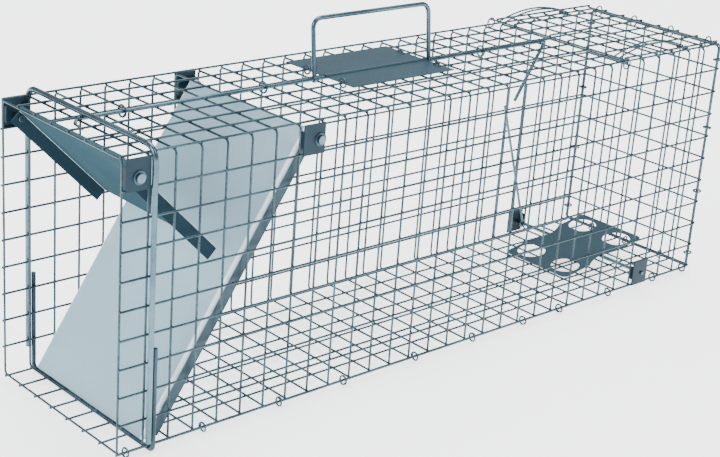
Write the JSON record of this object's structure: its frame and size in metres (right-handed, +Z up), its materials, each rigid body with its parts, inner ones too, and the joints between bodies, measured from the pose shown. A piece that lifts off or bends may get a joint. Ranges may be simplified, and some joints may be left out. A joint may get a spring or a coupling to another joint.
{
  "type": "live catch trap",
  "caption": "Live catch trap of galvanised wire mesh with a drop door, lock plate, trip pan, trigger rod, folding handle and bait door.",
  "frame": {"origin": "middle of the footprint, on the ground", "axes": "+X along the cage from the entrance to the rear, +Y to the far side, +Z up"},
  "size_m": [0.77, 0.194, 0.3211],
  "materials": {
    "mesh_wire": "satin",
    "rod": "satin",
    "ring_wire": "satin",
    "bracket_sheet": "satin",
    "pin_steel": "satin",
    "sheet": "satin",
    "door_sheet": "matte",
    "spring_wire": "satin"
  },
  "bodies": {
    "cage": {"cage_floor": "mesh_wire", "cage_far_side": "mesh_wire", "cage_top": "mesh_wire", "cage_near_side": "mesh_wire", "rear_panel": "mesh_wire", "seam_rings": "ring_wire", "rear_panel_rings": "ring_wire", "front_frame_loop": "rod", "floor_brace_rod": "rod", "lock_bracket_near": "bracket_sheet", "lock_bracket_far": "bracket_sheet", "door_bracket_near": "bracket_sheet", "door_bracket_far": "bracket_sheet", "pan_bracket_near": "bracket_sheet", "pan_bracket_far": "bracket_sheet", "lock_pins": "pin_steel", "door_pins": "pin_steel", "pin_washers": "pin_steel", "handle_guard": "sheet", "guard_rings": "ring_wire", "trigger_rod_rings": "ring_wire", "bait_door_hinge_clips": "ring_wire"},
    "door": {"door_panel": "door_sheet"},
    "lock_plate": {"lock_plate": "sheet"},
    "handle": {"carry_handle": "rod"},
    "trigger": {"trigger_rod": "rod", "trigger_hook": "rod"},
    "pan": {"trip_pan": "sheet", "pan_pivot_rod": "rod", "trip_arm": "rod"},
    "bait_door": {"bait_door": "mesh_wire"},
    "latch_near": {"latch_near": "spring_wire"},
    "latch_far": {"latch_far": "spring_wire"}
  },
  "joints": [
    {"name": "door_swing", "type": "hinge", "parent": "cage", "child": "door", "pos_m": [-0.1874, 0, 0.24738], "axis": [0, 1, 0], "range_deg": [0, 30]},
    {"name": "lock_plate_swing", "type": "hinge", "parent": "cage", "child": "lock_plate", "pos_m": [-0.37054, 0, 0.24561], "axis": [0, -1, 0], "range_deg": [0, 48]},
    {"name": "handle_fold", "type": "hinge", "parent": "cage", "child": "handle", "pos_m": [-0.03666, 0.0081, 0.26395], "axis": [1, 0, 0], "range_deg": [-40, 84]},
    {"name": "trip_pan_tilt", "type": "hinge", "parent": "cage", "child": "pan", "pos_m": [0.29164, 0, 0.01853], "axis": [0, 1, 0], "range_deg": [0, 7]},
    {"name": "trigger_rod_turn", "type": "hinge", "parent": "cage", "child": "trigger", "pos_m": [-0.0792, 0.0081, 0.26395], "axis": [-1, 0, 0], "range_deg": [0, 14]},
    {"name": "bait_door_lift", "type": "hinge", "parent": "cage", "child": "bait_door", "pos_m": [0.37165, 0, 0.2652], "axis": [0, 1, 0], "range_deg": [0, 90]},
    {"name": "latch_near_lift", "type": "hinge", "parent": "bait_door", "child": "latch_near", "pos_m": [0.32085, -0.0799, 0.2652], "axis": [0, 1, 0], "range_deg": [0, 80]},
    {"name": "latch_far_lift", "type": "hinge", "parent": "bait_door", "child": "latch_far", "pos_m": [0.32085, 0.0799, 0.2652], "axis": [0, 1, 0], "range_deg": [0, 80]}
  ],
  "couplings": [
    {"joint": "lock_plate_swing", "follows": "door_swing", "ratio": 1.6},
    {"joint": "trigger_rod_turn", "follows": "trip_pan_tilt", "ratio": 2}
  ]
}
